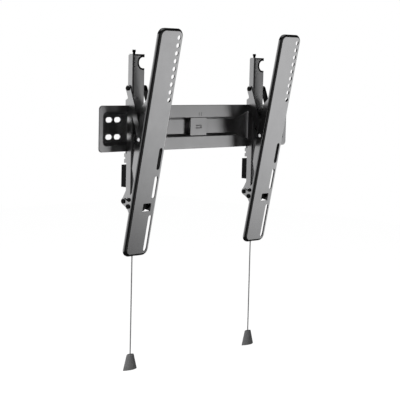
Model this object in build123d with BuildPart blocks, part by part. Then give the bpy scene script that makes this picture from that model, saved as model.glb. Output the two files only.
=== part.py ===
"""Tilting wall bracket for a television.

A dished wall plate carries two arms that hang over its top rail and slide along it.
Each arm has a channel (hook, bumper, levelling screw, spring latch with a pull cord)
and a front arm that tilts on an upper and a lower pair of links.

Frame: X along the wall plate to the right, Y into the wall, Z up.
The origin is on the wall, at the middle of the wall plate's back. Millimetres.
"""
import os
from math import atan2, cos, degrees, hypot, radians, sin, sqrt

from build123d import *

os.makedirs("parts", exist_ok=True)

# Sheet and clearances
SHEET = 2.0
SIDE_GAP = 0.3
FIT_GAP = 0.3
PIVOT_CLEARANCE = 0.05
OPEN_PIVOT_CLEARANCE = 1.1

# Wall plate
PLATE_LENGTH = 548.0
PLATE_HEIGHT = 88.0
PLATE_DEPTH = 15.0
PLATE_CORNER = 8.0
PLATE_EDGE = 0.8
RECESS_END_MARGIN = 10.5
RECESS_WIDE = 64.0
RECESS_NARROW = 37.6
RECESS_STEP_X = 120.0
RECESS_STEP_LENGTH = 32.0
RECESS_STEP_BEND = 50.0
RECESS_CORNER = 9.0
RECESS_DRAFT = 19.0
MOUTH_BEND = 1.6
PAN_BEND = 1.2
BRIDGE_WIDTH = 47.6
BRIDGE_SETBACK = 3.5
BRIDGE_EDGE = 0.5
WALL_SLOT_LENGTH = 17.0
WALL_SLOT_WIDTH = 10.0
WALL_SLOT_X = 226.6
WALL_SLOT_SPACING_X = 21.8
WALL_SLOT_SPACING_Z = 32.8
CENTRE_MARK_WIDTH = 16.5
CENTRE_MARK_HEIGHT = 7.2
CENTRE_MARK_CUT = 2.1
CENTRE_NOTCH_WIDTH = 8.0
CENTRE_NOTCH_HEIGHT = 8.4
CENTRE_NOTCH_Z = 25.5
CENTRE_NOTCH_LINE = 1.4
CENTRE_NOTCH_DEPTH = 0.5

# Front arm, in its own face: u across, v down from the top edge, w back from the face
ARM_SPACING = 350.0
ARM_WIDTH = 64.0
ARM_LENGTH = 448.6
ARM_CORNER = 15.0
ARM_BEND = 5.5
ARM_INNER_BEND = 3.5
FLANGE_DEPTH = 7.5
SWELL_DEPTH = 17.0
SWELL_MIDDLE_DEPTH = 18.6
SWELL_TOP = 136.0
SWELL_FULL_TOP = 152.0
SWELL_FULL_BOTTOM = 274.0
SWELL_BOTTOM = 295.0
EAR_TOP = 321.0
EAR_FULL_TOP = 330.0
EAR_FULL_BOTTOM = 351.0
EAR_BOTTOM = 360.0
EAR_DEPTH = 15.6
RIGHT_EAR_TOP = 338.0
PROFILE_FILLET = 4.0
HOLE_U = 52.2
HOLE_TOP = 16.6
HOLE_PITCH = 15.0
HOLE_COUNT = 9
HOLE_DIAMETER = 9.0
SLOT_WIDTH = 8.5
SLOT_SPANS = ((230.8, 274.2), (287.0, 331.7), (365.7, 439.0))
WINDOW_LEFT = 28.7
WINDOW_RIGHT = 50.0
WINDOW_TOP = 341.0
WINDOW_BOTTOM = 357.5
WINDOW_CORNER = 1.0
TAB_DEPTH = 18.5
TAB_CORNER = 6.0
CORD_NOTCH_WIDTH = 12.0

# Channel
CHANNEL_WIDTH = 31.0
CHANNEL_DEPTH = 13.7
CHANNEL_BEND = 3.0
CHANNEL_TOP = 142.0
CHANNEL_WEB_BOTTOM = -127.0
CUT_RADIUS = 10.4
CUT_FROM_LEFT = 24.8
CUT_Z = 125.8
TOP_TAB_SETBACK = 2.5
TOP_TONGUE_REAR = -8.0
TOP_TONGUE_WIDTH = 14.0
TOP_TONGUE_CORNER = 2.0
HOOK_THICKNESS = 3.2
HOOK_DROP = 10.0
HOOK_RISE = 10.0
HOOK_SLOPE = 3.5
HOOK_TIP_FILLET = 0.8
GUIDE_BELOW_PLATE = 4.0
GUIDE_HEIGHT = 18.0
GUIDE_REAR = -8.0
GUIDE_NOTCH_HEIGHT = 4.0
GUIDE_NOTCH_DEPTH = 3.0
HEEL_REAR_TOP = -119.0
HEEL_FRONT_RUN = 10.0
HEEL_FRONT_DROP = 6.0
UPPER_EAR_RADIUS = 6.5
LOWER_EAR_RADIUS = 8.0
SHELF_Z = -88.0
SHELF_REAR = -15.5
SHELF_WIDTH = 16.0

# Bumper
BUMPER_DEPTH = 14.5
BUMPER_TOP = -70.0
BUMPER_HEIGHT = 43.0
BUMPER_CORNER = 2.0
CORD_GROOVE_WIDTH = 6.0
CORD_GROOVE_DEPTH = 8.5

# Linkage pivots: A and C on the channel, B and D on the front arm
PIVOT_A_Y = -18.0
PIVOT_A_Z = 76.8
PIVOT_C_Y = -10.5
PIVOT_C_Z = -140.2
UPPER_LINK_LENGTH = 102.4
LOWER_LINK_LENGTH = 18.0
ARM_PIVOT_SPACING = 132.6
PIVOT_B_V = 215.6
PIVOT_B_W = 10.2
PIVOT_D_W = 11.8
REST_LINK_ANGLE = 20.5
LINK_WIDTH = 12.5

# Pins, spacers and rivet
PIN_DIAMETER = 6.0
PIN_HEAD_DIAMETER = 9.0
PIN_HEAD = 2.0
PIN_TAIL = 1.4
SPACER_DIAMETER = 9.0
WASHER = 1.4
RIVET_DIAMETER = 4.0
RIVET_HEAD_DIAMETER = 7.5
RIVET_HEAD = 1.5
RIVET_ABOVE_D = 13.3

# Levelling screw and nut
SCREW_DIAMETER = 5.0
SCREW_HEAD_DIAMETER = 6.6
SCREW_HEAD = 4.6
SCREW_NECK = 3.6
SOCKET_RADIUS = 2.3
SOCKET_DEPTH = 3.0
NUT_RADIUS = 4.6
NUT_THICKNESS = 4.0

# Latch, spring, pull cord and pull
LATCH_OVERLAP = 8.0
LATCH_DROP = 16.0
LATCH_REAR = -8.5
LATCH_LIP = 12.0
SPRING_RADIUS = 4.0
SPRING_WIRE = 0.5
SPRING_TURNS = 7
SPRING_FROM_LEFT = 11.0
SPRING_Y = -19.5
CORD_DIAMETER = 2.4
CORD_U = 29.0
CORD_Y = -9.5
PULL_TOP = -444.0
PULL_HEIGHT = 31.0
PULL_TOP_WIDTH = 17.0
PULL_TOP_DEPTH = 8.0
PULL_BOTTOM_WIDTH = 34.0
PULL_BOTTOM_DEPTH = 11.0
PULL_CORNER = 2.5

# Worked out: planes of the plate, the channel and the hook
plate_front = -PLATE_DEPTH
rail_rear = plate_front + SHEET
rail_top = PLATE_HEIGHT / 2
rail_middle = plate_front + SHEET / 2
channel_rear = plate_front - FIT_GAP
web_front = channel_rear - CHANNEL_DEPTH
web_rear = web_front + SHEET
throat_top = rail_top + FIT_GAP
hook_tip = rail_top - HOOK_DROP
throat_rear = rail_rear + FIT_GAP
hook_rear = throat_rear + HOOK_THICKNESS
cap_bottom = CHANNEL_TOP - SHEET
guide_top = -rail_top - GUIDE_BELOW_PLATE
guide_bottom = guide_top - GUIDE_HEIGHT
guide_middle = (guide_top + guide_bottom) / 2
latch_tip = -rail_top + LATCH_OVERLAP
latch_step = latch_tip - LATCH_DROP
latch_under = latch_step - SHEET

# Worked out: places across one arm, from the front arm's outer left face
link_l = SHEET + SIDE_GAP
channel_left = link_l + SHEET + SIDE_GAP
channel_right = channel_left + CHANNEL_WIDTH
channel_middle = (channel_left + channel_right) / 2
link_r = WINDOW_RIGHT - 2 * SIDE_GAP - WASHER - SHEET
right_flange = ARM_WIDTH - SHEET
pivot_radius = PIN_DIAMETER / 2 + PIVOT_CLEARANCE

# Worked out: the rest position of the linkage
rest_angle = radians(REST_LINK_ANGLE)
pivot_b_y = PIVOT_A_Y - UPPER_LINK_LENGTH * sin(rest_angle)
pivot_b_z = PIVOT_A_Z - UPPER_LINK_LENGTH * cos(rest_angle)


def forward_crossing(y1, z1, r1, y2, z2, r2):
    """The crossing, nearer the front, of two circles in the Y-Z plane."""
    dy = y2 - y1
    dz = z2 - z1
    apart = hypot(dy, dz)
    along = (r1 * r1 - r2 * r2 + apart * apart) / (2 * apart)
    aside = sqrt(r1 * r1 - along * along)
    return y1 + (along * dy + aside * dz) / apart, z1 + (along * dz - aside * dy) / apart


pivot_d_y, pivot_d_z = forward_crossing(
    pivot_b_y, pivot_b_z, ARM_PIVOT_SPACING, PIVOT_C_Y, PIVOT_C_Z, LOWER_LINK_LENGTH
)
pivot_d_v = PIVOT_B_V + sqrt(ARM_PIVOT_SPACING**2 - (PIVOT_D_W - PIVOT_B_W) ** 2)
pivot_line = atan2(pivot_d_y - pivot_b_y, pivot_b_z - pivot_d_z)
tilt = pivot_line - atan2(PIVOT_D_W - PIVOT_B_W, pivot_d_v - PIVOT_B_V)
arm_top_y = pivot_b_y - PIVOT_B_V * sin(tilt) - PIVOT_B_W * cos(tilt)
arm_top_z = pivot_b_z + PIVOT_B_V * cos(tilt) - PIVOT_B_W * sin(tilt)


def arm_place(v, w):
    """Y and Z of the front arm's point at v down its face and w behind it."""
    y = arm_top_y + v * sin(tilt) + w * cos(tilt)
    z = arm_top_z - v * cos(tilt) + w * sin(tilt)
    return y, z


def face_plane(x, w=0.0):
    """Plane parallel to the front arm's face: local x is u, local y is -v."""
    y, z = arm_place(0, w)
    return Plane(origin=(x, y, z), x_dir=(1, 0, 0), z_dir=(0, -cos(tilt), -sin(tilt)))


def flange_plane(x):
    """Plane along the front arm's flanges: local x is w, local y is -v."""
    origin = (x, arm_top_y, arm_top_z)
    return Plane(origin=origin, x_dir=(0, cos(tilt), sin(tilt)), z_dir=(1, 0, 0))


def block(x, y, z, mode=Mode.ADD):
    """A box between two values of X, of Y and of Z, in the part being built."""
    middle = [(low + high) / 2 for low, high in (x, y, z)]
    lengths = [high - low for low, high in (x, y, z)]
    with Locations(tuple(middle)):
        Box(*lengths, mode=mode)


rivet_place = arm_place(pivot_d_v - RIVET_ABOVE_D, PIVOT_D_W)


def save(piece, name):
    """Label a finished piece and write it."""
    piece.part.label = name
    export_step(piece.part, f"parts/{name}.step")


# Wall plate: a flat front sheet, a pan that reaches back to the wall, and a bridge over it
pan_end = PLATE_LENGTH / 2 - RECESS_END_MARGIN
pan_steps = (
    (RECESS_STEP_X, RECESS_NARROW / 2),
    (RECESS_STEP_X + RECESS_STEP_LENGTH, RECESS_WIDE / 2),
    (pan_end, RECESS_WIDE / 2),
)
upper_steps = tuple((-x, z) for x, z in reversed(pan_steps)) + pan_steps
recess_corners = upper_steps + tuple((x, -z) for x, z in reversed(upper_steps))


def round_recess(sketch):
    """Round the pan's corners: long bends at its steps, short ones at its ends."""
    ends = sketch.vertices().filter_by(lambda corner: abs(corner.X) > pan_end - SHEET)
    fillet(ends, RECESS_CORNER)
    steps = sketch.vertices().filter_by(lambda corner: abs(corner.X) < pan_end - 2 * RECESS_CORNER)
    fillet(steps, RECESS_STEP_BEND)


def make_wall_plate():
    front = Plane.XZ.offset(PLATE_DEPTH)
    with BuildPart() as plate:
        with BuildSketch(front):
            RectangleRounded(PLATE_LENGTH, PLATE_HEIGHT, PLATE_CORNER)
        extrude(amount=-SHEET)
        fillet(plate.edges().group_by(Axis.Y)[0], PLATE_EDGE)
        with BuildSketch(front) as pan:
            with BuildLine():
                Polyline(*recess_corners, close=True)
            make_face()
            round_recess(pan)
            offset(amount=SHEET, kind=Kind.ARC)
        extrude(amount=-PLATE_DEPTH, taper=RECESS_DRAFT)
        fillet(plate.edges().group_by(Axis.Y)[-1], PAN_BEND)
        with BuildSketch(front) as hollow:
            with BuildLine():
                Polyline(*recess_corners, close=True)
            make_face()
            round_recess(hollow)
        extrude(amount=-(PLATE_DEPTH - SHEET), taper=RECESS_DRAFT, mode=Mode.SUBTRACT)
        front_edges = plate.edges().group_by(Axis.Y)[0]
        mouth_edges = front_edges.filter_by_position(Axis.Z, -RECESS_WIDE / 2, RECESS_WIDE / 2)
        fillet(mouth_edges.filter_by_position(Axis.X, -pan_end, pan_end), MOUTH_BEND)
        with BuildSketch(Plane.XZ):
            with Locations((-WALL_SLOT_X, 0), (WALL_SLOT_X, 0)):
                with GridLocations(WALL_SLOT_SPACING_X, WALL_SLOT_SPACING_Z, 2, 2):
                    SlotOverall(WALL_SLOT_LENGTH, WALL_SLOT_WIDTH)
        extrude(amount=SHEET, mode=Mode.SUBTRACT)
        with BuildSketch(Plane.XY.offset(-(RECESS_NARROW + SHEET) / 2)):
            with Locations((0, plate_front + BRIDGE_SETBACK + SHEET / 2)):
                RectangleRounded(BRIDGE_WIDTH, SHEET, BRIDGE_EDGE)
        extrude(amount=RECESS_NARROW + SHEET)
        with BuildSketch(Plane.XZ.offset(PLATE_DEPTH - BRIDGE_SETBACK)):
            Rectangle(CENTRE_MARK_WIDTH, CENTRE_MARK_HEIGHT)
            with Locations((-CENTRE_MARK_CUT, 0)):
                inner_height = CENTRE_MARK_HEIGHT - 2 * CENTRE_MARK_CUT
                Rectangle(CENTRE_MARK_WIDTH, inner_height, mode=Mode.SUBTRACT)
        extrude(amount=-SHEET, mode=Mode.SUBTRACT)
        with BuildSketch(front):
            with Locations((0, CENTRE_NOTCH_Z)):
                Rectangle(CENTRE_NOTCH_WIDTH, CENTRE_NOTCH_HEIGHT)
            with Locations((0, CENTRE_NOTCH_Z + CENTRE_NOTCH_LINE)):
                inner_width = CENTRE_NOTCH_WIDTH - 2 * CENTRE_NOTCH_LINE
                Rectangle(inner_width, CENTRE_NOTCH_HEIGHT, mode=Mode.SUBTRACT)
        extrude(amount=-CENTRE_NOTCH_DEPTH, mode=Mode.SUBTRACT)
    save(plate, "wall_plate")


# Channel: web and two flanges with the hook, the latch guide and the link ears
channel_corners = (
    (web_front, CHANNEL_TOP),
    (web_front, CHANNEL_WEB_BOTTOM),
    (web_front + HEEL_FRONT_RUN, CHANNEL_WEB_BOTTOM - HEEL_FRONT_DROP),
    (PIVOT_C_Y - LOWER_EAR_RADIUS, PIVOT_C_Z),
    (PIVOT_C_Y + LOWER_EAR_RADIUS, PIVOT_C_Z),
    (-BUMPER_DEPTH, HEEL_REAR_TOP),
    (-BUMPER_DEPTH, guide_bottom),
    (GUIDE_REAR, guide_bottom),
    (GUIDE_REAR, guide_top),
    (channel_rear, guide_top),
    (channel_rear, throat_top),
    (throat_rear, throat_top),
    (throat_rear, hook_tip),
    (hook_rear, hook_tip),
    (hook_rear, rail_top + HOOK_RISE),
    (channel_rear, rail_top + HOOK_RISE + HOOK_SLOPE),
    (channel_rear, CHANNEL_TOP),
)


def make_channel(side, arm_x):
    left = arm_x + channel_left
    right = arm_x + channel_right
    middle = arm_x + channel_middle
    inside = (left + SHEET, right - SHEET)
    cut_x = left + CUT_FROM_LEFT
    tab_rear = channel_rear - TOP_TAB_SETBACK
    spring_x = left + SPRING_FROM_LEFT
    lowest = PIVOT_C_Z - LOWER_EAR_RADIUS - SHEET
    with BuildPart() as channel:
        with BuildSketch(Plane.YZ.offset(left)) as outline:
            with BuildLine():
                Polyline(*channel_corners, close=True)
            make_face()
            hook_tips = [p for p in outline.vertices() if abs(p.Z - hook_tip) < FIT_GAP]
            fillet(hook_tips, HOOK_TIP_FILLET)
            with Locations((PIVOT_A_Y, PIVOT_A_Z)):
                Circle(UPPER_EAR_RADIUS)
            with Locations((PIVOT_C_Y, PIVOT_C_Z)):
                Circle(LOWER_EAR_RADIUS)
            with Locations((GUIDE_REAR, guide_middle)):
                Rectangle(2 * GUIDE_NOTCH_DEPTH, GUIDE_NOTCH_HEIGHT, mode=Mode.SUBTRACT)
            with Locations((PIVOT_A_Y, PIVOT_A_Z), (PIVOT_C_Y, PIVOT_C_Z)):
                Circle(pivot_radius, mode=Mode.SUBTRACT)
        extrude(amount=CHANNEL_WIDTH)
        web_corners = channel.edges().filter_by(Axis.Z).group_by(Axis.Y)[0]
        top_front = channel.edges().filter_by(Axis.X).group_by(Axis.Z)[-1].group_by(Axis.Y)[0]
        fillet(web_corners + top_front, CHANNEL_BEND)
        block(inside, (web_rear, 0), (lowest, cap_bottom), Mode.SUBTRACT)
        block((left, right), (tab_rear, 0), (cap_bottom, CHANNEL_TOP), Mode.SUBTRACT)
        tongue = (middle - TOP_TONGUE_WIDTH / 2, middle + TOP_TONGUE_WIDTH / 2)
        block(tongue, (tab_rear, TOP_TONGUE_REAR), (cap_bottom, CHANNEL_TOP))
        upright = channel.edges().filter_by(Axis.Z).filter_by_position(
            Axis.Z, cap_bottom, CHANNEL_TOP
        )
        fillet(upright.group_by(Axis.Y)[-1], TOP_TONGUE_CORNER)
        shelf = (spring_x - SHELF_WIDTH / 2, spring_x + SHELF_WIDTH / 2)
        block(shelf, (web_rear, SHELF_REAR), (SHELF_Z - SHEET, SHELF_Z))
        with BuildSketch(Plane.XZ.offset(-web_rear)):
            with Locations((cut_x, CUT_Z)):
                Circle(CUT_RADIUS)
        extrude(amount=2 * SHEET, mode=Mode.SUBTRACT)
        cut_z = (CUT_Z - CUT_RADIUS, CUT_Z + CUT_RADIUS)
        block((cut_x, right), (web_front, 0), cut_z, Mode.SUBTRACT)
        with BuildSketch(Plane.XY.offset(cap_bottom)):
            with Locations((middle, rail_middle)):
                Circle(SCREW_DIAMETER / 2 + FIT_GAP)
        extrude(amount=SHEET, mode=Mode.SUBTRACT)
    save(channel, f"{side}_channel")


def make_bumper(side, arm_x):
    left = arm_x + channel_left
    right = arm_x + channel_right
    cord_x = arm_x + CORD_U
    height = (BUMPER_TOP - BUMPER_HEIGHT, BUMPER_TOP)
    groove = (cord_x - CORD_GROOVE_WIDTH / 2, cord_x + CORD_GROOVE_WIDTH / 2)
    with BuildPart() as bumper:
        block((left, right), (-BUMPER_DEPTH, 0), height)
        fillet(bumper.faces().sort_by(Axis.Y)[-1].edges(), BUMPER_CORNER)
        block(groove, (-BUMPER_DEPTH, CORD_GROOVE_DEPTH - BUMPER_DEPTH), height, Mode.SUBTRACT)
    save(bumper, f"{side}_bumper")


def make_level_screw(side, arm_x):
    place = (arm_x + channel_middle, rail_middle)
    head_bottom = CHANNEL_TOP + SCREW_NECK
    with BuildPart() as screw:
        with BuildSketch(Plane.XY.offset(rail_top)):
            with Locations(place):
                Circle(SCREW_DIAMETER / 2)
        extrude(amount=head_bottom - rail_top)
        with BuildSketch(Plane.XY.offset(head_bottom)):
            with Locations(place):
                Circle(SCREW_HEAD_DIAMETER / 2)
        extrude(amount=SCREW_HEAD)
        with BuildSketch(Plane.XY.offset(head_bottom + SCREW_HEAD)):
            with Locations(place):
                RegularPolygon(SOCKET_RADIUS, 6)
        extrude(amount=-SOCKET_DEPTH, mode=Mode.SUBTRACT)
    save(screw, f"{side}_level_screw")


def make_level_nut(side, arm_x):
    with BuildPart() as nut:
        with BuildSketch(Plane.XY.offset(cap_bottom)):
            with Locations((arm_x + channel_middle, rail_middle)):
                RegularPolygon(NUT_RADIUS, 6)
                Circle(SCREW_DIAMETER / 2 + PIVOT_CLEARANCE, mode=Mode.SUBTRACT)
        extrude(amount=-NUT_THICKNESS)
    save(nut, f"{side}_level_nut")


# Links, pins, spacers and rivets
def make_link(name, x, start, end, end_clearance=PIVOT_CLEARANCE):
    """A flat bar with round ends from one pivot to another."""
    run_y = end[0] - start[0]
    run_z = end[1] - start[1]
    middle = ((start[0] + end[0]) / 2, (start[1] + end[1]) / 2)
    with BuildPart() as link:
        with BuildSketch(Plane.YZ.offset(x)):
            with Locations(middle):
                turn = degrees(atan2(run_z, run_y))
                SlotCenterToCenter(hypot(run_y, run_z), LINK_WIDTH, rotation=turn)
            with Locations(start):
                Circle(pivot_radius, mode=Mode.SUBTRACT)
            with Locations(end):
                Circle(PIN_DIAMETER / 2 + end_clearance, mode=Mode.SUBTRACT)
        extrude(amount=SHEET)
    save(link, name)


def make_turned(name, pivot, steps):
    """A round piece along X: each step is a start, an end and a diameter."""
    with BuildPart() as turned:
        for start, end, diameter in steps:
            with BuildSketch(Plane.YZ.offset(start)):
                with Locations(pivot):
                    Circle(diameter / 2)
            extrude(amount=end - start)
    save(turned, name)


def make_tube(name, pivot, start, end):
    """A spacer or washer along X, around a pin."""
    with BuildPart() as tube:
        with BuildSketch(Plane.YZ.offset(start)):
            with Locations(pivot):
                Circle(SPACER_DIAMETER / 2)
                Circle(pivot_radius, mode=Mode.SUBTRACT)
        extrude(amount=end - start)
    save(tube, name)


def make_channel_pivot(side, arm_x, letter, pivot):
    """The short left and right pins that carry a pair of links on the channel."""
    flange_l = arm_x + channel_left
    flange_r = arm_x + channel_right
    tail_l = flange_l + SHEET
    tail_r = flange_r - SHEET
    bar_l = arm_x + link_l
    bar_r = arm_x + link_r + SHEET
    left_pin = (
        (bar_l - PIN_HEAD, bar_l, PIN_HEAD_DIAMETER),
        (bar_l, tail_l, PIN_DIAMETER),
        (tail_l, tail_l + PIN_TAIL, PIN_HEAD_DIAMETER),
    )
    right_pin = (
        (tail_r - PIN_TAIL, tail_r, PIN_HEAD_DIAMETER),
        (tail_r, bar_r, PIN_DIAMETER),
        (bar_r, bar_r + PIN_TAIL, PIN_HEAD_DIAMETER),
    )
    make_turned(f"{side}_pin_{letter}_l", pivot, left_pin)
    make_turned(f"{side}_pin_{letter}_r", pivot, right_pin)
    spacer_end = arm_x + link_r - SIDE_GAP
    make_tube(f"{side}_spacer_{letter}", pivot, flange_r + SIDE_GAP, spacer_end)


def make_pivot_b(side, arm_x):
    """The long pin through both flanges of the front arm and the upper links."""
    pivot = (pivot_b_y, pivot_b_z)
    far = arm_x + ARM_WIDTH
    steps = (
        (arm_x - PIN_HEAD, arm_x, PIN_HEAD_DIAMETER),
        (arm_x, far, PIN_DIAMETER),
        (far, far + PIN_TAIL, PIN_HEAD_DIAMETER),
    )
    make_turned(f"{side}_pin_b", pivot, steps)
    spacer_start = arm_x + link_r + SHEET + SIDE_GAP
    make_tube(f"{side}_spacer_b", pivot, spacer_start, arm_x + right_flange - SIDE_GAP)


def make_pivot_d(side, arm_x):
    """The short pins of the front arm that the lower links hang on."""
    pivot = (pivot_d_y, pivot_d_z)
    bar_end_l = arm_x + link_l + SHEET
    bar_start_r = arm_x + link_r
    tab_end = arm_x + WINDOW_RIGHT + SHEET
    left_pin = (
        (arm_x - PIN_HEAD, arm_x, PIN_HEAD_DIAMETER),
        (arm_x, bar_end_l, PIN_DIAMETER),
        (bar_end_l, bar_end_l + PIN_TAIL, PIN_HEAD_DIAMETER),
    )
    right_pin = (
        (bar_start_r - PIN_TAIL, bar_start_r, PIN_HEAD_DIAMETER),
        (bar_start_r, tab_end, PIN_DIAMETER),
        (tab_end, tab_end + PIN_TAIL, PIN_HEAD_DIAMETER),
    )
    make_turned(f"{side}_pin_d_l", pivot, left_pin)
    make_turned(f"{side}_pin_d_r", pivot, right_pin)
    washer_start = bar_start_r + SHEET + SIDE_GAP
    make_tube(f"{side}_washer_d", pivot, washer_start, washer_start + WASHER)


def make_rivet(side, arm_x):
    steps = (
        (arm_x - RIVET_HEAD, arm_x, RIVET_HEAD_DIAMETER),
        (arm_x, arm_x + SHEET, RIVET_DIAMETER),
    )
    make_turned(f"{side}_ear_rivet", rivet_place, steps)


def make_links(side, arm_x):
    pivot_a = (PIVOT_A_Y, PIVOT_A_Z)
    pivot_b = (pivot_b_y, pivot_b_z)
    pivot_c = (PIVOT_C_Y, PIVOT_C_Z)
    pivot_d = (pivot_d_y, pivot_d_z)
    for end, x in (("l", arm_x + link_l), ("r", arm_x + link_r)):
        make_link(f"{side}_upper_link_{end}", x, pivot_a, pivot_b)
        make_link(f"{side}_lower_link_{end}", x, pivot_c, pivot_d, OPEN_PIVOT_CLEARANCE)


# Front arm: a shallow tray whose flanges swell at the upper and lower pivots
swell_middle = (SWELL_FULL_TOP + SWELL_FULL_BOTTOM) / 2
swell_arc = (
    (SWELL_DEPTH, -SWELL_FULL_BOTTOM),
    (SWELL_MIDDLE_DEPTH, -swell_middle),
    (SWELL_DEPTH, -SWELL_FULL_TOP),
)
flange_corners = (
    (SWELL_DEPTH, -SWELL_FULL_TOP),
    (FLANGE_DEPTH, -SWELL_TOP),
    (FLANGE_DEPTH, 0),
    (-SHEET, 0),
    (-SHEET, -ARM_LENGTH),
    (FLANGE_DEPTH, -ARM_LENGTH),
    (FLANGE_DEPTH, -EAR_BOTTOM),
    (EAR_DEPTH, -EAR_FULL_BOTTOM),
    (EAR_DEPTH, -EAR_FULL_TOP),
    (FLANGE_DEPTH, -EAR_TOP),
    (FLANGE_DEPTH, -SWELL_BOTTOM),
    (SWELL_DEPTH, -SWELL_FULL_BOTTOM),
)


def make_front_arm(side, arm_x):
    depth = SWELL_MIDDLE_DEPTH + 2 * SHEET
    front = face_plane(arm_x)
    floor = face_plane(arm_x, SHEET)
    towards_front = Axis((0, 0, 0), front.z_dir)
    middle = (ARM_WIDTH / 2, -ARM_LENGTH / 2)
    with BuildPart() as pocket:
        with BuildSketch(floor):
            with Locations(middle):
                inner = (ARM_WIDTH - 2 * SHEET, ARM_LENGTH - 2 * SHEET)
                RectangleRounded(*inner, ARM_CORNER - SHEET)
        extrude(amount=-depth)
        fillet(pocket.faces().sort_by(towards_front)[-1].edges(), ARM_INNER_BEND)
    with BuildPart() as arm:
        with BuildSketch(front):
            with Locations(middle):
                RectangleRounded(ARM_WIDTH, ARM_LENGTH, ARM_CORNER)
        extrude(amount=-depth)
        fillet(arm.faces().sort_by(towards_front)[-1].edges(), ARM_BEND)
        with BuildSketch(flange_plane(arm_x)) as flange:
            with BuildLine():
                Polyline(*flange_corners)
                ThreePointArc(*swell_arc)
            make_face()
            shoulders = [p for p in flange.vertices() if is_shoulder(p)]
            fillet(shoulders, PROFILE_FILLET)
        extrude(amount=ARM_WIDTH, mode=Mode.INTERSECT)
        add(pocket.part, mode=Mode.SUBTRACT)
        with BuildSketch(flange_plane(arm_x + right_flange)):
            cut_middle = -(SWELL_BOTTOM + RIGHT_EAR_TOP) / 2
            with Locations((FLANGE_DEPTH + depth / 2, cut_middle)):
                Rectangle(depth, RIGHT_EAR_TOP - SWELL_BOTTOM)
        extrude(amount=SHEET, mode=Mode.SUBTRACT)
        with BuildSketch(front):
            for number in range(HOLE_COUNT):
                with Locations((HOLE_U, -HOLE_TOP - number * HOLE_PITCH)):
                    Circle(HOLE_DIAMETER / 2)
            for top, bottom in SLOT_SPANS:
                with Locations((HOLE_U, -(top + bottom) / 2)):
                    SlotOverall(bottom - top, SLOT_WIDTH, rotation=90)
            window = (WINDOW_RIGHT - WINDOW_LEFT, WINDOW_BOTTOM - WINDOW_TOP)
            window_u = (WINDOW_LEFT + WINDOW_RIGHT) / 2
            window_v = (WINDOW_TOP + WINDOW_BOTTOM) / 2
            with Locations((window_u, -window_v)):
                RectangleRounded(*window, WINDOW_CORNER)
        extrude(amount=-SHEET, mode=Mode.SUBTRACT)
        with BuildSketch(flange_plane(arm_x + WINDOW_RIGHT)) as tab:
            with BuildLine():
                Polyline(
                    (0, -WINDOW_TOP),
                    (TAB_DEPTH, -WINDOW_TOP),
                    (TAB_DEPTH, -WINDOW_BOTTOM),
                    (0, -WINDOW_BOTTOM),
                    close=True,
                )
            make_face()
            fillet(tab.vertices().group_by(towards_front)[0], TAB_CORNER)
        extrude(amount=SHEET)
        tab_x = arm_x + WINDOW_RIGHT
        pin_holes = (
            (arm_x, (pivot_b_y, pivot_b_z), ARM_WIDTH, pivot_radius),
            (arm_x, (pivot_d_y, pivot_d_z), SHEET, pivot_radius),
            (tab_x, (pivot_d_y, pivot_d_z), SHEET, pivot_radius),
            (arm_x, rivet_place, SHEET, RIVET_DIAMETER / 2),
        )
        for start, pivot, length, radius in pin_holes:
            with BuildSketch(Plane.YZ.offset(start)):
                with Locations(pivot):
                    Circle(radius)
            extrude(amount=length, mode=Mode.SUBTRACT)
        with BuildSketch(floor):
            with Locations((CORD_U, -ARM_LENGTH)):
                Rectangle(CORD_NOTCH_WIDTH, 4 * SHEET)
        extrude(amount=-depth, mode=Mode.SUBTRACT)
    save(arm, f"{side}_front_arm")


def is_shoulder(point):
    """Whether a corner of the flange's outline is one of its bends."""
    v = (arm_top_z - point.Z) * cos(tilt) - (arm_top_y - point.Y) * sin(tilt)
    return SWELL_TOP - SHEET < v < EAR_BOTTOM + SHEET


# Latch, its spring, the pull cord and its pull
def make_latch(side, arm_x):
    across = (
        arm_x + channel_left + SHEET + SIDE_GAP,
        arm_x + channel_right - SHEET - SIDE_GAP,
    )
    lip_front = web_rear + SIDE_GAP
    with BuildPart() as latch:
        block(across, (LATCH_REAR - SHEET, LATCH_REAR), (latch_under, latch_tip))
        block(across, (lip_front, LATCH_REAR), (latch_under, latch_step))
        block(across, (lip_front, lip_front + SHEET), (latch_under - LATCH_LIP, latch_under))
        tips = latch.edges().filter_by(Axis.Y).group_by(Axis.Z)[-1]
        fillet(tips, SHEET)
    save(latch, f"{side}_latch")


def make_spring(side, arm_x):
    height = latch_under - SHELF_Z - 2 * SPRING_WIRE
    place = (arm_x + channel_left + SPRING_FROM_LEFT, SPRING_Y, SHELF_Z + SPRING_WIRE)
    with BuildPart() as spring:
        with BuildLine() as coil:
            Helix(height / SPRING_TURNS, height, SPRING_RADIUS, center=place)
        with BuildSketch(Plane(origin=coil.line @ 0, z_dir=coil.line % 0)):
            Circle(SPRING_WIRE)
        sweep(is_frenet=True)
    save(spring, f"{side}_latch_spring")


def make_pull_cord(side, arm_x):
    with BuildPart() as cord:
        with BuildSketch(Plane.XY.offset(PULL_TOP)):
            with Locations((arm_x + CORD_U, CORD_Y)):
                Circle(CORD_DIAMETER / 2)
        extrude(amount=latch_under - PULL_TOP)
    save(cord, f"{side}_pull_cord")


def make_cord_pull(side, arm_x):
    place = (arm_x + CORD_U, CORD_Y)
    with BuildPart() as pull:
        with BuildSketch(Plane.XY.offset(PULL_TOP - PULL_HEIGHT)):
            with Locations(place):
                RectangleRounded(PULL_BOTTOM_WIDTH, PULL_BOTTOM_DEPTH, PULL_CORNER)
        with BuildSketch(Plane.XY.offset(PULL_TOP)):
            with Locations(place):
                RectangleRounded(PULL_TOP_WIDTH, PULL_TOP_DEPTH, PULL_CORNER)
        loft()
    save(pull, f"{side}_cord_pull")


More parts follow.
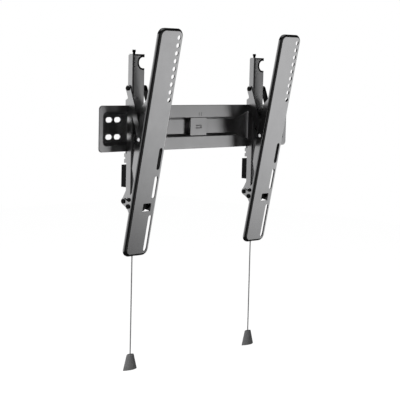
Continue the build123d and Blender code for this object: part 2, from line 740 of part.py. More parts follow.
make_wall_plate()
for side, arm_middle in (("left", -ARM_SPACING / 2), ("right", ARM_SPACING / 2)):
    arm_x = arm_middle - ARM_WIDTH / 2
    make_channel(side, arm_x)
    make_bumper(side, arm_x)
    make_level_screw(side, arm_x)
    make_level_nut(side, arm_x)
    make_links(side, arm_x)
    make_channel_pivot(side, arm_x, "a", (PIVOT_A_Y, PIVOT_A_Z))
    make_channel_pivot(side, arm_x, "c", (PIVOT_C_Y, PIVOT_C_Z))
    make_pivot_b(side, arm_x)
    make_pivot_d(side, arm_x)
    make_rivet(side, arm_x)
    make_front_arm(side, arm_x)
    make_latch(side, arm_x)
    make_spring(side, arm_x)
    make_pull_cord(side, arm_x)
    make_cord_pull(side, arm_x)

print(f"rest: tilt {degrees(tilt):.3f}, arm top Y {arm_top_y:.2f} Z {arm_top_z:.2f}")
print(f"B {pivot_b_y:.3f} {pivot_b_z:.3f}, D {pivot_d_y:.3f} {pivot_d_z:.3f}")
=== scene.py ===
"""Looks of the tilting television wall bracket. Metres, in the part's own frame.

The CAD nodes keep their shapes and get procedural materials. The pull cords, their pulls and
the latch springs replace their CAD nodes. A black ring and a dark link tail are added to each
arm as painted shade.
"""
from collections import namedtuple
from math import atan2, cos, pi, radians, sin

import bmesh
import bpy
from mathutils import Matrix, Vector


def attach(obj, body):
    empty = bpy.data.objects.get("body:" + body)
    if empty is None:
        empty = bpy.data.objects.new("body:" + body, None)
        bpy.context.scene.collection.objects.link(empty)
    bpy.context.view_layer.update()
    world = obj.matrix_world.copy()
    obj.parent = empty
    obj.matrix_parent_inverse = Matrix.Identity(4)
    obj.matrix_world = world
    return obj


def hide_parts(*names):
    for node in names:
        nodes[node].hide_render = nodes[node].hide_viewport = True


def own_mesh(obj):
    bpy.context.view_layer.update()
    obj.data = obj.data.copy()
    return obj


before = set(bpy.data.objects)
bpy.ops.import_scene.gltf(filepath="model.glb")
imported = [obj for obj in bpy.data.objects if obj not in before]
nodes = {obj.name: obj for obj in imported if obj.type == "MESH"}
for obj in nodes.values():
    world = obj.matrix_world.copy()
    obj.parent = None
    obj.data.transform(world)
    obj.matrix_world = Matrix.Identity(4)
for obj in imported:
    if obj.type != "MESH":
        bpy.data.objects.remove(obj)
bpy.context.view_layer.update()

scene = bpy.context.scene
SIDES = ("left", "right")

# The photograph's camera
PHOTO_WIDTH = 400
FOCAL_PIXELS = 1265.1
SENSOR_WIDTH = 36.0
CLIP_END = 100.0
CAMERA_AZIMUTH = radians(-46.712)
CAMERA_ELEVATION = radians(6.025)
CAMERA_ROLL = radians(1.4)
CAMERA_ASIDE = 0.01482
CAMERA_RISE = -0.14976
CAMERA_DISTANCE = 2.5755

# Floor, well below the hanging pulls
FLOOR_Z = -1.3
FLOOR_SIZE = 16.0
FLOOR_TONE = 0.8
FLOOR_GLOW = 0.89

# Lamps: place, size in metres and power in watts
LAMPS = {
    "overhead": ((-0.5, -0.9, 2.3), 1.6, 14),
    "key": ((-2.4, -0.8, 0.4), 1.0, 85),
}
LAMP_TARGET = (0, 0, -0.1)

# Surroundings seen by the camera and by rough surfaces
WHITE_STRENGTH = 1.0
PLAIN_STRENGTH = 0.12

# Surroundings seen in gloss. Each edge starts and ends at a part of the ray's direction along
# one axis, or for the slanted edge along Z plus a share of X. Where it has four numbers, the
# last two are the strengths at its start and end.
DARKEST_GLOSS = 0.01
BEHIND_NEAR_EDGE_Y = (-0.2, 0.15)
BEHIND_TOP_EDGE_Z = (0.15, 0.4, 1.0, 0.0)
BEHIND_BOTTOM_EDGE_Z = (-0.6, -0.35)
BEHIND_LEFT_FADE_X = (-0.84, -0.7, 0.3, 1.0)
BEHIND_RIGHT_FADE_X = (-0.6, -0.1, 1.0, 0.5)
BEHIND_LOW_FADE_Z = (-0.16, -0.02, 0.74, 1.0)
PANEL_SLANT = 0.5
PANEL_NEAR_EDGE_X = (0.59, 0.675)
PANEL_SLANTED_EDGE = (0.29, 0.4, 1.0, 0.0)
PANEL_BOTTOM_EDGE_Z = (-0.475, -0.295)
FRONT_EDGE_Y = (-0.75, -0.9)
FRONT_TOP_EDGE_Z = (0.2, 0.4, 0.05, 0.0)
TOP_EDGE_Z = (0.8, 0.92, 0.0, 0.25)

# Metal finishes: tone and roughness
PLATE_COAT = (0.65, 0.3)
CHANNEL_COAT = (0.5, 0.28)
ARM_COAT = (0.45, 0.2)
# Painted shade: a near-black copy of the coat for the right links and the tails, which sit in
# shade
PAINTED_SHADE_LINK_COAT = (0.015, 0.25)
BLACK_OXIDE = (0.008, 0.35)
SPRING_WIRE = (0.12, 0.3)

# Moulded finishes: tone, roughness, scale and strength of the grain, and gloss
BUMPER_RUBBER = (0.006, 0.7, 900.0, 0.15, 0.1)
PULL_PLASTIC = (0.12, 0.5, 1200.0, 0.1, 0.15)
PIN_CORE = (0.42, 0.4, 1500.0, 0.1, 0.5)

# Pale core of a pin, and the dark rim round it
PIN_CORE_RADIUS = 0.0032
PIN_RIM_TONE = 0.02
PIN_RIM_BLUR = 0.0003

# How a surface varies: blotches in its tone, rubbed edges and marks in its gloss. Scales are
# per metre, tones are shares of the finish's own tone, and spread is added to its roughness.
Look = namedtuple("Look", "blotches detail tones edge rubbed rubbed_tone marks spread")
COAT_LOOK = Look(11.0, 5.0, (0.92, 1.08), 0.0006, 0.35, 1.8, 45.0, (-0.04, 0.04))
STEEL_LOOK = Look(260.0, 4.0, (0.75, 1.25), 0.0003, 0.3, 2.2, 700.0, (-0.08, 0.1))
MOULDED_LOOK = Look(70.0, 4.0, (0.8, 1.2), 0.0008, 0.4, 2.0, 130.0, (-0.06, 0.08))
COOL_TINT = 1.01

# Rubbed edges: how far the face turns at them, and the noise that breaks them up
EDGE_SAMPLES = 4
EDGE_TURN = (0.99, 0.85)
EDGE_NOISE = 220.0
EDGE_BREAKS = (0.35, 0.6)

# Coat: the roughness that rubbing adds, orange peel and grain, and painted shade on the inside of
# a folded tray
COAT_RUBBED_ROUGHNESS = 0.12
PEEL_SCALE = 420.0
PEEL_DETAIL = 2.0
PEEL_BUMP = (0.02, 0.0003)
COAT_GRAIN_SCALE = 1600.0
COAT_GRAIN_BUMP = (0.03, 0.0002)
# Painted shade: faces inside an arm's folded tray are darkened to this share of the coat's tone
TRAY_SHADE_TONE = 0.1
TRAY_SHADE_BLUR = 0.001
TRAY_SHADE_TURN = (-0.5, -0.7)

# Steel: turning marks and grain
STEEL_METALLIC = 0.9
TURNING_SCALE = 1500.0
TURNING_WAVER = 2.0
TURNING_BUMP = (0.05, 0.0001)
STEEL_GRAIN_SCALE = 2500.0
STEEL_GRAIN_BUMP = (0.08, 0.0001)

# Moulded parts: slow waves in the surface, and the grain's height
WAVE_SCALE = 90.0
WAVE_BUMP = (0.05, 0.0006)
GRAIN_HEIGHT = 0.0002

# Braid of the pull cords: crossing ridges and fuzz
BRAID_TONE = 0.09
BRAID_TONES = (0.5, 1.5)
BRAID_ROUGHNESS = 0.8
RIDGE_SCALE = 260.0
RIDGE_WAVER = 0.6
RIDGE_TURN = 0.7
RIDGE_BUMP = (0.6, 0.0003)
FUZZ_SCALE = 3000.0
FUZZ_BUMP = (0.3, 0.0001)

# Places on each arm, as in the part
ARM_X = {"left": -0.207, "right": 0.143}
# Where the painted shade inside the arm's folded tray starts, across the arm
TRAY_SHADE_START_X = 0.04
PIVOT_B = (-0.0539, -0.0191)
PIVOT_D = (-0.0263, -0.1488)

# Words in the names of the small steel nodes
SMALL_STEEL = ("pin", "spacer", "washer", "rivet", "screw", "nut")

# Pull cords, as in the part: the cord's place across each arm, its depth and its ends
CORD_X = {"left": -0.178, "right": 0.172}
CORD_Y = -0.0095
CORD_TOP = -0.054
CORD_BOTTOM = -0.444
CORD_DIAMETER = 0.0024
CORD_ROUNDNESS = 4
CORD_STEPS = 12

# Pull on each cord: half width and half depth at its ends, and its rings as depth and spread
PULL_HEIGHT = 0.031
PULL_TOP_HALF = (0.0095, 0.004)
PULL_BOTTOM_HALF = (0.019, 0.0055)
PULL_LENS_POWER = 0.7
PULL_SIDES = 48
PULL_RINGS = (
    (0.0, 0.8),
    (0.0003, 0.93),
    (0.0012, 1.0),
    (0.006, 1.0),
    (0.015, 1.0),
    (0.024, 1.0),
    (0.0295, 1.0),
    (0.0306, 0.985),
    (0.031, 0.95),
    (0.0308, 0.88),
    (0.0285, 0.82),
)

# Latch spring: its place on each arm, its ends, its wire and its turns
SPRING_X = 0.0156
SPRING_Y = -0.0195
SPRING_BOTTOM = -0.088
SPRING_TOP = -0.054
SPRING_RADIUS = 0.004
WIRE_RADIUS = 0.0005
WIRE_SIDES = 8
SPRING_TURNS = 8
CLOSED_TURNS = 1
CLOSED_PITCH = 2.1
STEPS_PER_TURN = 28

# Black ring round the finger cut of each channel, painted shade at the cut's edge
CUT_X = 0.0294
CUT_Z = 0.1258
CUT_RADIUS = 0.0104
SHADE_RING_RADIUS = 0.0138
SHADE_RING_PROUD = 0.0006
SHADE_RING_BITE = 0.0006
SHADE_RING_ARC_STEPS = 32
WEB_RIGHT = 0.0036
WEB_FRONT = -0.029

# Tail of the right lower link
TAIL_X = 0.0462
TAIL_THICKNESS = 0.0016
TAIL_END = (-0.0182, -0.157)
TAIL_RADIUS = 0.0045
TAIL_ARC_STEPS = 12

# Bevel on the pieces cut from sheet
SHEET_BEVEL = 0.0003
SHEET_BEVEL_STEPS = 2


def make_camera():
    """A pinhole camera at the photograph's place, turned by its roll."""
    a = CAMERA_AZIMUTH
    e = CAMERA_ELEVATION
    forward = Vector((-sin(a) * cos(e), cos(a) * cos(e), -sin(e)))
    level = Vector((cos(a), sin(a), 0))
    upright = level.cross(forward)
    right = level * cos(CAMERA_ROLL) + upright * sin(CAMERA_ROLL)
    up = upright * cos(CAMERA_ROLL) - level * sin(CAMERA_ROLL)
    place = level * CAMERA_ASIDE + upright * CAMERA_RISE - forward * CAMERA_DISTANCE
    data = bpy.data.cameras.new("camera")
    data.sensor_width = SENSOR_WIDTH
    data.lens = data.sensor_width * FOCAL_PIXELS / PHOTO_WIDTH
    data.clip_end = CLIP_END
    camera = bpy.data.objects.new("camera", data)
    scene.collection.objects.link(camera)
    turn = Matrix((right, up, -forward)).transposed().to_4x4()
    camera.matrix_world = Matrix.Translation(place) @ turn
    scene.camera = camera


# Small helpers for shader nodes
def new_material(name):
    material = bpy.data.materials.new(name)
    material.use_nodes = True
    material.node_tree.nodes.clear()
    return material, material.node_tree


def add(tree, kind, **values):
    """A shader node with its unlinked inputs, and with its settings where a name has set_."""
    node = tree.nodes.new(kind)
    for key, value in values.items():
        if key.startswith("set_"):
            setattr(node, key.removeprefix("set_"), value)
        else:
            node.inputs[key.replace("_", " ")].default_value = value
    return node


def combine(tree, operation, first, second):
    """Two values through a Math node. The second may be a plain number."""
    node = add(tree, "ShaderNodeMath", set_operation=operation)
    tree.links.new(first, node.inputs[0])
    if isinstance(second, float):
        node.inputs[1].default_value = second
    else:
        tree.links.new(second, node.inputs[1])
    return node.outputs["Value"]


def product(tree, first, *others):
    """All the values multiplied together."""
    for other in others:
        first = combine(tree, "MULTIPLY", first, other)
    return first


def mix_value(tree, factor, low, high):
    """A number between two others by a factor socket."""
    node = add(tree, "ShaderNodeMapRange", To_Min=low, To_Max=high)
    tree.links.new(factor, node.inputs["Value"])
    return node.outputs["Result"]


def ramp(tree, value, start, end, low=0.0, high=1.0):
    """A smooth step from low to high while a value goes from start to end."""
    node = add(tree, "ShaderNodeMapRange", set_interpolation_type="SMOOTHSTEP")
    tree.links.new(value, node.inputs["Value"])
    for name, number in zip(("From Min", "From Max", "To Min", "To Max"), (start, end, low, high)):
        node.inputs[name].default_value = number
    return node.outputs["Result"]


def position(tree):
    return add(tree, "ShaderNodeTexCoord").outputs["Object"]


def noise(tree, scale, detail=3.0):
    node = add(tree, "ShaderNodeTexNoise", Scale=scale, Detail=detail)
    tree.links.new(position(tree), node.inputs["Vector"])
    return node.outputs["Fac"]


def shade(tree, factor, dark, light):
    """A grey between two tones by a factor socket."""
    node = add(tree, "ShaderNodeMix", set_data_type="RGBA")
    node.inputs["A"].default_value = (dark, dark, dark * COOL_TINT, 1)
    node.inputs["B"].default_value = (light, light, light * COOL_TINT, 1)
    tree.links.new(factor, node.inputs["Factor"])
    return node.outputs["Result"]


def blend_grey(tree, factor, colour, tone):
    """A colour socket turned towards a plain grey by a factor socket."""
    node = add(tree, "ShaderNodeMix", set_data_type="RGBA")
    node.inputs["B"].default_value = (tone, tone, tone, 1)
    tree.links.new(colour, node.inputs["A"])
    tree.links.new(factor, node.inputs["Factor"])
    return node.outputs["Result"]


def choose_shader(tree, factor, otherwise, chosen):
    """One shader where the factor is 0 and the other where it is 1."""
    node = add(tree, "ShaderNodeMixShader")
    tree.links.new(factor, node.inputs["Fac"])
    tree.links.new(otherwise, node.inputs[1])
    tree.links.new(chosen, node.inputs[2])
    return node.outputs["Shader"]


# Materials
def edge_wear(tree, radius):
    """From 0 on flat faces to 1 on sharp edges, broken up by noise."""
    bevel = add(tree, "ShaderNodeBevel", set_samples=EDGE_SAMPLES, Radius=radius)
    facing = add(tree, "ShaderNodeVectorMath", set_operation="DOT_PRODUCT")
    tree.links.new(bevel.outputs["Normal"], facing.inputs[0])
    tree.links.new(add(tree, "ShaderNodeNewGeometry").outputs["Normal"], facing.inputs[1])
    edge = ramp(tree, facing.outputs["Value"], *EDGE_TURN)
    return combine(tree, "MULTIPLY", edge, ramp(tree, noise(tree, EDGE_NOISE), *EDGE_BREAKS))


def tray_shade_mask(tree, start_x):
    """1 on the faces that look to -X beyond a place across the arm, inside its folded tray, where
    shade is painted.
    """
    coordinates = add(tree, "ShaderNodeTexCoord")
    place = add(tree, "ShaderNodeSeparateXYZ")
    normal = add(tree, "ShaderNodeSeparateXYZ")
    tree.links.new(coordinates.outputs["Object"], place.inputs["Vector"])
    tree.links.new(coordinates.outputs["Normal"], normal.inputs["Vector"])
    beyond = ramp(tree, place.outputs["X"], start_x - TRAY_SHADE_BLUR, start_x)
    return combine(tree, "MULTIPLY", beyond, ramp(tree, normal.outputs["X"], *TRAY_SHADE_TURN))


def add_bumps(tree, shader, *bumps):
    """Bumps from (height socket, (strength, distance)), one after the other."""
    normal = None
    for height, (strength, distance) in bumps:
        bump = add(tree, "ShaderNodeBump", Strength=strength, Distance=distance)
        tree.links.new(height, bump.inputs["Height"])
        if normal:
            tree.links.new(normal, bump.inputs["Normal"])
        normal = bump.outputs["Normal"]
    tree.links.new(normal, shader.inputs["Normal"])


def new_shader(tree, **values):
    """A surface's shader, linked to the output."""
    output = add(tree, "ShaderNodeOutputMaterial")
    shader = add(tree, "ShaderNodeBsdfPrincipled", **values)
    tree.links.new(shader.outputs["BSDF"], output.inputs["Surface"])
    return shader


def vary(tree, shader, look, tone, roughness):
    """Blotches, rubbed edges and uneven gloss. Returns the colour, the roughness and the wear."""
    dark, light = look.tones
    smoother, rougher = look.spread
    wear = edge_wear(tree, look.edge)
    colour = shade(tree, noise(tree, look.blotches, look.detail), tone * dark, tone * light)
    rubbed = combine(tree, "MULTIPLY", wear, look.rubbed)
    colour = blend_grey(tree, rubbed, colour, tone * look.rubbed_tone)
    marks = noise(tree, look.marks, look.detail)
    rough = mix_value(tree, marks, roughness + smoother, roughness + rougher)
    tree.links.new(colour, shader.inputs["Base Color"])
    tree.links.new(rough, shader.inputs["Roughness"])
    return colour, rough, wear


def make_coat(name, tone, roughness, tray_shade_x=None):
    """Glossy grey coat: orange peel, faint clouds, rubbed edges, and painted shade inside a tray.
    """
    material, tree = new_material(name)
    shader = new_shader(tree, Metallic=1.0)
    colour, rough, wear = vary(tree, shader, COAT_LOOK, tone, roughness)
    # Painted shade: faces inside the arm's tray are turned towards a darker grey
    if tray_shade_x is not None:
        colour = blend_grey(tree, tray_shade_mask(tree, tray_shade_x), colour, tone * TRAY_SHADE_TONE)
        tree.links.new(colour, shader.inputs["Base Color"])
    rubbed_rough = combine(tree, "MULTIPLY", wear, COAT_RUBBED_ROUGHNESS)
    tree.links.new(combine(tree, "ADD", rough, rubbed_rough), shader.inputs["Roughness"])
    peel = noise(tree, PEEL_SCALE, PEEL_DETAIL)
    grain = noise(tree, COAT_GRAIN_SCALE)
    add_bumps(tree, shader, (peel, PEEL_BUMP), (grain, COAT_GRAIN_BUMP))
    return material


def make_steel(name, tone, roughness):
    """Turned or drawn steel: fine marks, blotches and edges rubbed bright."""
    material, tree = new_material(name)
    shader = new_shader(tree, Metallic=STEEL_METALLIC)
    vary(tree, shader, STEEL_LOOK, tone, roughness)
    turning = add(tree, "ShaderNodeTexWave", Scale=TURNING_SCALE, Distortion=TURNING_WAVER)
    turning.bands_direction = "DIAGONAL"
    tree.links.new(position(tree), turning.inputs["Vector"])
    grain = noise(tree, STEEL_GRAIN_SCALE)
    add_bumps(tree, shader, (turning.outputs["Fac"], TURNING_BUMP), (grain, STEEL_GRAIN_BUMP))
    return material


def make_moulded(name, tone, roughness, grain_scale, grain_strength, gloss):
    """Moulded rubber or plastic with a fine grain, scuffed a little lighter on its edges."""
    material, tree = new_material(name)
    shader = new_shader(tree, Specular_IOR_Level=gloss)
    vary(tree, shader, MOULDED_LOOK, tone, roughness)
    waves = noise(tree, WAVE_SCALE)
    grain = noise(tree, grain_scale)
    add_bumps(tree, shader, (waves, WAVE_BUMP), (grain, (grain_strength, GRAIN_HEIGHT)))
    return material


def make_capped_pin():
    """A dark pin with a pale nylon core, seen as a spot in the middle of its head."""
    material = make_moulded("capped_pin", *PIN_CORE)
    tree = material.node_tree
    shader = next(node for node in tree.nodes if node.type == "BSDF_PRINCIPLED")
    colour = shader.inputs["Base Color"].links[0].from_socket
    away = add(tree, "ShaderNodeVectorMath", set_operation="MULTIPLY_ADD")
    tree.links.new(position(tree), away.inputs[0])
    away.inputs[1].default_value = (0, 1, 1)
    away.inputs[2].default_value = (0, -PIVOT_B[0], -PIVOT_B[1])
    distance = add(tree, "ShaderNodeVectorMath", set_operation="LENGTH")
    tree.links.new(away.outputs["Vector"], distance.inputs[0])
    edge = (PIN_CORE_RADIUS - PIN_RIM_BLUR, PIN_CORE_RADIUS + PIN_RIM_BLUR)
    rim = ramp(tree, distance.outputs["Value"], *edge)
    tree.links.new(blend_grey(tree, rim, colour, PIN_RIM_TONE), shader.inputs["Base Color"])
    return material


def make_braid():
    """A braided cord: fine crossing ridges along the curve."""
    material, tree = new_material("cord_braid")
    shader = new_shader(tree, Roughness=BRAID_ROUGHNESS)
    ridges = []
    for turn in ((RIDGE_TURN, 0, 0), (0, RIDGE_TURN, 0)):
        wave = add(tree, "ShaderNodeTexWave", Scale=RIDGE_SCALE, Distortion=RIDGE_WAVER)
        wave.bands_direction = "DIAGONAL"
        turned = add(tree, "ShaderNodeMapping", Rotation=turn)
        tree.links.new(position(tree), turned.inputs["Vector"])
        tree.links.new(turned.outputs["Vector"], wave.inputs["Vector"])
        ridges.append(wave.outputs["Fac"])
    braid = product(tree, *ridges)
    fuzz = noise(tree, FUZZ_SCALE)
    dark, light = (BRAID_TONE * share for share in BRAID_TONES)
    colour = shade(tree, combine(tree, "ADD", braid, fuzz), dark, light)
    tree.links.new(colour, shader.inputs["Base Color"])
    add_bumps(tree, shader, (braid, RIDGE_BUMP), (fuzz, FUZZ_BUMP))
    return material


def paint(name, material):
    """Give a CAD node its material."""
    mesh = nodes[name].data
    mesh.materials.clear()
    mesh.materials.append(material)


def paint_nodes(shade_coat, rubber):
    channel = make_coat("channel_coat", *CHANNEL_COAT)
    pin = make_steel("black_oxide", *BLACK_OXIDE)
    capped_pin = make_capped_pin()
    paint("wall_plate", make_coat("plate_coat", *PLATE_COAT))
    for side in SIDES:
        # Each arm's coat darkens the inside of its tray with painted shade
        paint(f"{side}_front_arm", make_coat(f"{side}_arm_coat", *ARM_COAT, ARM_X[side] + TRAY_SHADE_START_X))
        for node in ("channel", "upper_link_l", "lower_link_l", "latch"):
            paint(f"{side}_{node}", channel)
        # Painted shade: the right links get the near-black copy of the coat
        for node in ("upper_link_r", "lower_link_r"):
            paint(f"{side}_{node}", shade_coat)
        paint(f"{side}_bumper", rubber)
    for name in nodes:
        if any(word in name for word in SMALL_STEEL):
            paint(name, capped_pin if name.endswith("pin_b") else pin)


# Meshes
def new_piece(name, work, material):
    """A piece from a finished bmesh."""
    bmesh.ops.recalc_face_normals(work, faces=work.faces)
    mesh = bpy.data.meshes.new(name)
    work.to_mesh(mesh)
    work.free()
    mesh.materials.append(material)
    piece = bpy.data.objects.new(name, mesh)
    scene.collection.objects.link(piece)
    return piece


def skin_rings(name, rings, material):
    """A smooth piece through rings of points, closed at both ends."""
    work = bmesh.new()
    loops = [[work.verts.new(point) for point in ring] for ring in rings]
    for upper, lower in zip(loops, loops[1:]):
        for i in range(len(upper)):
            j = (i + 1) % len(upper)
            work.faces.new((upper[i], lower[i], lower[j], upper[j]))
    work.faces.new(loops[0])
    work.faces.new(loops[-1][::-1])
    piece = new_piece(name, work, material)
    piece.data.polygons.foreach_set("use_smooth", [True] * len(piece.data.polygons))
    return piece


def cut_from_sheet(name, near, far, material, body):
    """A flat piece between two outlines of the same shape."""
    work = bmesh.new()
    front = [work.verts.new(point) for point in near]
    back = [work.verts.new(point) for point in far]
    work.faces.new(front)
    work.faces.new(back[::-1])
    for i in range(len(front)):
        j = (i + 1) % len(front)
        work.faces.new((front[i], back[i], back[j], front[j]))
    piece = new_piece(name, work, material)
    bevel = piece.modifiers.new("soft_edges", "BEVEL")
    bevel.width = SHEET_BEVEL
    bevel.segments = SHEET_BEVEL_STEPS
    bevel.limit_method = "ANGLE"
    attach(piece, body)
    return piece


def half_circle(radius, start, steps):
    """Points round half a circle from a starting angle."""
    angles = [start + pi * i / steps for i in range(steps + 1)]
    return [(radius * cos(a), radius * sin(a)) for a in angles]


def between(low, high, share):
    return low + (high - low) * share


# Pull cords and their pulls
def pull_ring(side, down, spread):
    """A lens-shaped ring of a pull, at a depth below its top."""
    share = down / PULL_HEIGHT
    half_width = between(PULL_TOP_HALF[0], PULL_BOTTOM_HALF[0], share) * spread
    half_depth = between(PULL_TOP_HALF[1], PULL_BOTTOM_HALF[1], share) * spread
    ring = []
    for i in range(PULL_SIDES):
        a = 2 * pi * i / PULL_SIDES
        bulge = sin(a) * abs(sin(a)) ** PULL_LENS_POWER
        x = CORD_X[side] + half_width * cos(a)
        ring.append((x, CORD_Y + half_depth * bulge, CORD_BOTTOM - down))
    return ring


def make_pull(side, material):
    """A moulded pull: a wedge with softened ends and a hollow underside."""
    rings = [pull_ring(side, down, spread) for down, spread in PULL_RINGS]
    pull = skin_rings(f"{side}_moulded_pull", rings, material)
    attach(pull, f"{side}_latch")
    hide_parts(f"{side}_cord_pull")
    return pull


def make_cords():
    braid = make_braid()
    plastic = make_moulded("pull_plastic", *PULL_PLASTIC)
    for side in SIDES:
        pull = make_pull(side, plastic)
        x = CORD_X[side]
        middle = (CORD_TOP + CORD_BOTTOM) / 2
        route = ((x, CORD_Y, CORD_TOP), (x, CORD_Y, middle), (x, CORD_Y, CORD_BOTTOM))
        curve = bpy.data.curves.new(f"{side}_cord_line", "CURVE")
        curve.dimensions = "3D"
        curve.bevel_depth = CORD_DIAMETER / 2
        curve.bevel_resolution = CORD_ROUNDNESS
        spline = curve.splines.new("NURBS")
        spline.points.add(len(route) - 1)
        for point, place in zip(spline.points, route):
            point.co = (*place, 1)
        spline.order_u = 3
        spline.use_endpoint_u = True
        spline.resolution_u = CORD_STEPS
        curve.materials.append(braid)
        cord = bpy.data.objects.new(f"{side}_braided_cord", curve)
        scene.collection.objects.link(cord)
        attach(cord, f"{side}_latch")
        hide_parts(f"{side}_pull_cord")


# Latch springs
def spring_height(turn):
    """Height of the wire at a turn: closed end turns and open ones between."""
    low = SPRING_BOTTOM + WIRE_RADIUS
    high = SPRING_TOP - WIRE_RADIUS
    closed = CLOSED_TURNS * CLOSED_PITCH * WIRE_RADIUS
    if turn < CLOSED_TURNS:
        return low + closed * turn / CLOSED_TURNS
    if turn > SPRING_TURNS - CLOSED_TURNS:
        return high - closed * (SPRING_TURNS - turn) / CLOSED_TURNS
    share = (turn - CLOSED_TURNS) / (SPRING_TURNS - 2 * CLOSED_TURNS)
    return low + closed + (high - low - 2 * closed) * share


def wire_ring(middle, turn):
    """The wire's outline at a turn round the spring's middle."""
    a = 2 * pi * turn
    ring = []
    for i in range(WIRE_SIDES):
        b = 2 * pi * i / WIRE_SIDES
        out = SPRING_RADIUS + WIRE_RADIUS * cos(b)
        height = spring_height(turn) + WIRE_RADIUS * sin(b)
        ring.append((middle[0] + out * cos(a), middle[1] + out * sin(a), height))
    return ring


def make_springs():
    """Coiled wire with closed end turns, fixed to each channel."""
    wire = make_steel("spring_wire", *SPRING_WIRE)
    steps = range(SPRING_TURNS * STEPS_PER_TURN + 1)
    for side in SIDES:
        middle = (ARM_X[side] + SPRING_X, SPRING_Y)
        rings = [wire_ring(middle, step / STEPS_PER_TURN) for step in steps]
        spring = skin_rings(f"{side}_coil_spring", rings, wire)
        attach(spring, f"{side}_channel")
        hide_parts(f"{side}_latch_spring")
        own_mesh(spring)


# Painted shade: black rings round the finger cuts, and dark link tails
def make_shade_rings(rubber):
    """A black ring round the finger cut at the top of each channel's web, in the bumpers' rubber:
    painted shade at the cut's edge.
    """
    inner = half_circle(CUT_RADIUS, pi / 2, SHADE_RING_ARC_STEPS)
    outer = half_circle(SHADE_RING_RADIUS, pi / 2, SHADE_RING_ARC_STEPS)
    outline = [(WEB_RIGHT, CUT_RADIUS), *inner, (WEB_RIGHT, -CUT_RADIUS)]
    outline += [(WEB_RIGHT, -SHADE_RING_RADIUS), *reversed(outer), (WEB_RIGHT, SHADE_RING_RADIUS)]
    for side in SIDES:
        x = ARM_X[side] + CUT_X
        near = [(x + a, WEB_FRONT - SHADE_RING_PROUD, CUT_Z + b) for a, b in outline]
        far = [(x + a, WEB_FRONT + SHADE_RING_BITE, CUT_Z + b) for a, b in outline]
        shade_ring_piece = cut_from_sheet(f"{side}_cut_shade_ring", near, far, rubber, f"{side}_channel")


def make_tails(shade_coat):
    """A tail on each right lower link, seen through the arm's window, in the near-black coat of
    painted shade.
    """
    across = atan2(TAIL_END[1] - PIVOT_D[1], TAIL_END[0] - PIVOT_D[0])
    outline = []
    for (y, z), turn in ((PIVOT_D, pi / 2), (TAIL_END, -pi / 2)):
        arc = half_circle(TAIL_RADIUS, across + turn, TAIL_ARC_STEPS)
        outline += [(y + a, z + b) for a, b in arc]
    for side in SIDES:
        x = ARM_X[side] + TAIL_X
        near = [(x, y, z) for y, z in outline]
        far = [(x + TAIL_THICKNESS, y, z) for y, z in outline]
        body = f"{side}_lower_links"
        tail = cut_from_sheet(f"{side}_link_tail", near, far, shade_coat, body)


# Surroundings
def gloss_strength(tree):
    """How bright gloss sees each direction: behind, a slanted panel, and dim front and top."""
    parts = add(tree, "ShaderNodeSeparateXYZ")
    direction = add(tree, "ShaderNodeTexCoord").outputs["Generated"]
    tree.links.new(direction, parts.inputs["Vector"])
    x, y, z = (parts.outputs[axis] for axis in "XYZ")
    behind = product(
        tree,
        ramp(tree, y, *BEHIND_NEAR_EDGE_Y),
        ramp(tree, z, *BEHIND_TOP_EDGE_Z),
        ramp(tree, z, *BEHIND_BOTTOM_EDGE_Z),
        ramp(tree, x, *BEHIND_LEFT_FADE_X),
        ramp(tree, x, *BEHIND_RIGHT_FADE_X),
        ramp(tree, z, *BEHIND_LOW_FADE_Z),
    )
    slanted = combine(tree, "ADD", z, combine(tree, "MULTIPLY", x, PANEL_SLANT))
    panel = product(
        tree,
        ramp(tree, x, *PANEL_NEAR_EDGE_X),
        ramp(tree, slanted, *PANEL_SLANTED_EDGE),
        ramp(tree, z, *PANEL_BOTTOM_EDGE_Z),
    )
    front = product(tree, ramp(tree, y, *FRONT_EDGE_Y), ramp(tree, z, *FRONT_TOP_EDGE_Z))
    bright = combine(tree, "MAXIMUM", behind, panel)
    dim = combine(tree, "MAXIMUM", front, ramp(tree, z, *TOP_EDGE_Z))
    return mix_value(tree, combine(tree, "MAXIMUM", bright, dim), DARKEST_GLOSS, 1.0)


def make_world():
    """White to camera and transmitted rays, graded to gloss and plain to everything else."""
    world = bpy.data.worlds.new("studio")
    world.use_nodes = True
    scene.world = world
    tree = world.node_tree
    tree.nodes.clear()
    path = add(tree, "ShaderNodeLightPath")
    white_light = (1, 1, 1, 1)
    plain = add(tree, "ShaderNodeBackground", Color=white_light, Strength=PLAIN_STRENGTH)
    white = add(tree, "ShaderNodeBackground", Color=white_light, Strength=WHITE_STRENGTH)
    gloss = add(tree, "ShaderNodeBackground", Color=white_light)
    tree.links.new(gloss_strength(tree), gloss.inputs["Strength"])
    lit = choose_shader(
        tree,
        path.outputs["Is Glossy Ray"],
        plain.outputs["Background"],
        gloss.outputs["Background"],
    )
    seen = combine(
        tree, "MAXIMUM", path.outputs["Is Camera Ray"], path.outputs["Is Transmission Ray"]
    )
    output = add(tree, "ShaderNodeOutputWorld")
    all_rays = choose_shader(tree, seen, lit, white.outputs["Background"])
    tree.links.new(all_rays, output.inputs["Surface"])


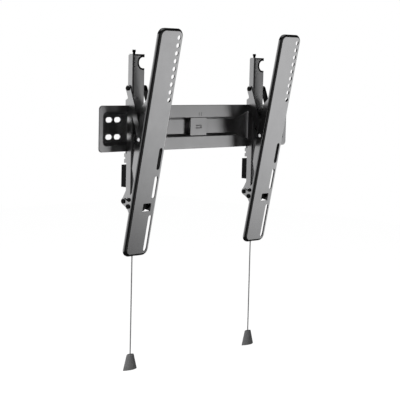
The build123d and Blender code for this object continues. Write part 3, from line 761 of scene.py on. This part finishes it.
def make_floor():
    """A pale floor that keeps the object's shadow, and that gloss sees through."""
    half = FLOOR_SIZE / 2
    square = ((-half, -half), (half, -half), (half, half), (-half, half))
    mesh = bpy.data.meshes.new("floor")
    mesh.from_pydata([(x, y, FLOOR_Z) for x, y in square], [], [(0, 1, 2, 3)])
    floor = bpy.data.objects.new("floor", mesh)
    scene.collection.objects.link(floor)
    material, tree = new_material("pale_floor")
    path = add(tree, "ShaderNodeLightPath")
    tone = (FLOOR_TONE, FLOOR_TONE, FLOOR_TONE, 1)
    diffuse = add(tree, "ShaderNodeBsdfDiffuse", Color=tone)
    glow = add(tree, "ShaderNodeEmission")
    glow_strength = combine(tree, "MULTIPLY", path.outputs["Is Camera Ray"], FLOOR_GLOW)
    tree.links.new(glow_strength, glow.inputs["Strength"])
    both = add(tree, "ShaderNodeAddShader")
    tree.links.new(diffuse.outputs["BSDF"], both.inputs[0])
    tree.links.new(glow.outputs["Emission"], both.inputs[1])
    clear = add(tree, "ShaderNodeBsdfTransparent")
    all_rays = choose_shader(
        tree, path.outputs["Is Glossy Ray"], both.outputs["Shader"], clear.outputs["BSDF"]
    )
    output = add(tree, "ShaderNodeOutputMaterial")
    tree.links.new(all_rays, output.inputs["Surface"])
    mesh.materials.append(material)


def make_lamp(name, place, size, power):
    """A soft square lamp that shines at the object and doesn't show in its gloss."""
    data = bpy.data.lights.new(name, "AREA")
    data.shape = "SQUARE"
    data.size = size
    data.energy = power
    lamp = bpy.data.objects.new(name, data)
    scene.collection.objects.link(lamp)
    lamp.visible_glossy = False
    lamp.location = place
    towards = Vector(LAMP_TARGET) - Vector(place)
    lamp.rotation_mode = "QUATERNION"
    lamp.rotation_quaternion = towards.to_track_quat("-Z", "Y")


make_camera()
make_cords()
# Painted shade: the near-black coat of the right links and their tails
painted_shade_link_coat = make_coat("painted_shade_link_coat", *PAINTED_SHADE_LINK_COAT)
bumper_rubber = make_moulded("bumper_rubber", *BUMPER_RUBBER)
paint_nodes(painted_shade_link_coat, bumper_rubber)
make_springs()
# Painted shade: black rings round the finger cuts
make_shade_rings(bumper_rubber)
# Painted shade: dark tails seen through the arms' windows
make_tails(painted_shade_link_coat)
make_world()
make_floor()
for lamp_name, lamp_values in LAMPS.items():
    make_lamp(lamp_name, *lamp_values)

scene.view_settings.view_transform = "Standard"
